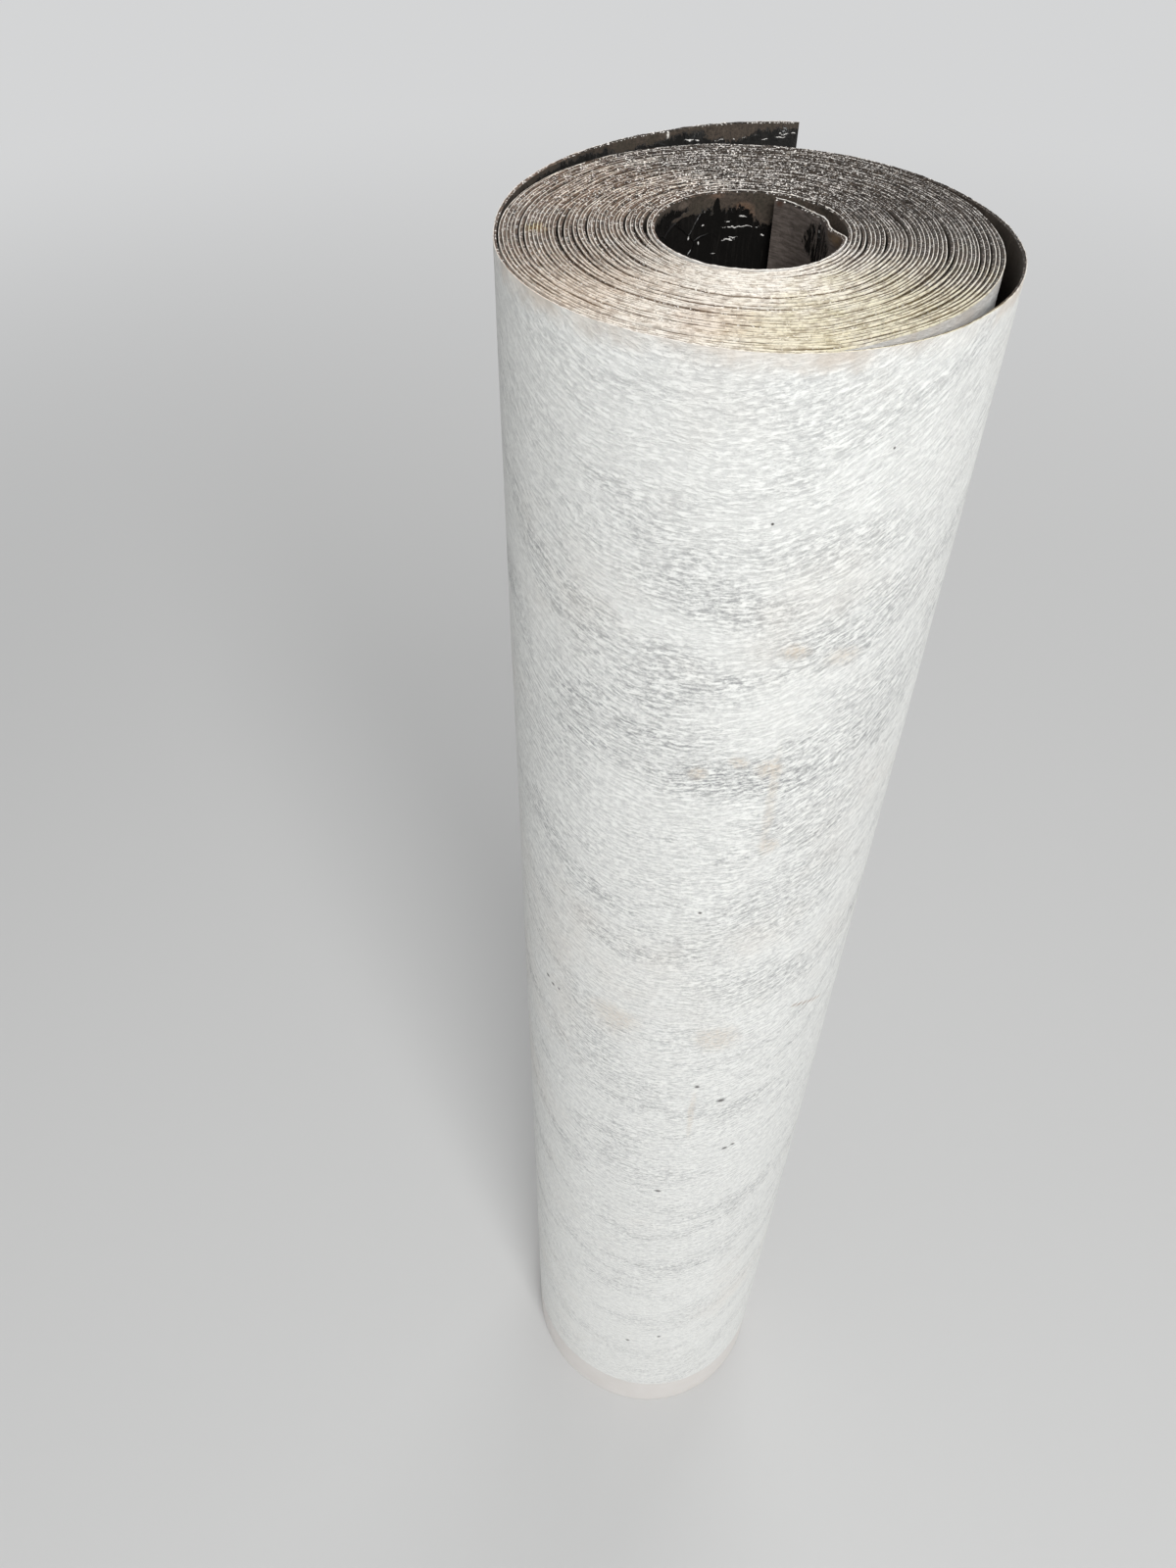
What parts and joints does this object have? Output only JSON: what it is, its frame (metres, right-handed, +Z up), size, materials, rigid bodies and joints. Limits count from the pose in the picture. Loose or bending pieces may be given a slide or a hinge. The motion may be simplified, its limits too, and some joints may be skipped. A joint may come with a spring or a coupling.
{
  "type": "roll of roofing felt",
  "caption": "Fleece-faced bitumen roofing felt wound into a coil with an open bore, standing on end, its outermost turn sprung loose.",
  "frame": {"origin": "middle of the box round the roll's foot, on the floor", "axes": "+Z up along the coil, -Y towards the side the picture was taken from; the outer free end stands out towards +Y"},
  "size_m": [0.1954, 0.2219, 1],
  "materials": {
    "felt": "pale grey needled fleece outside, black bitumen with crinkled glossy film inside"
  },
  "bodies": {
    "root": {"felt_roll": "felt"}
  },
  "joints": []
}
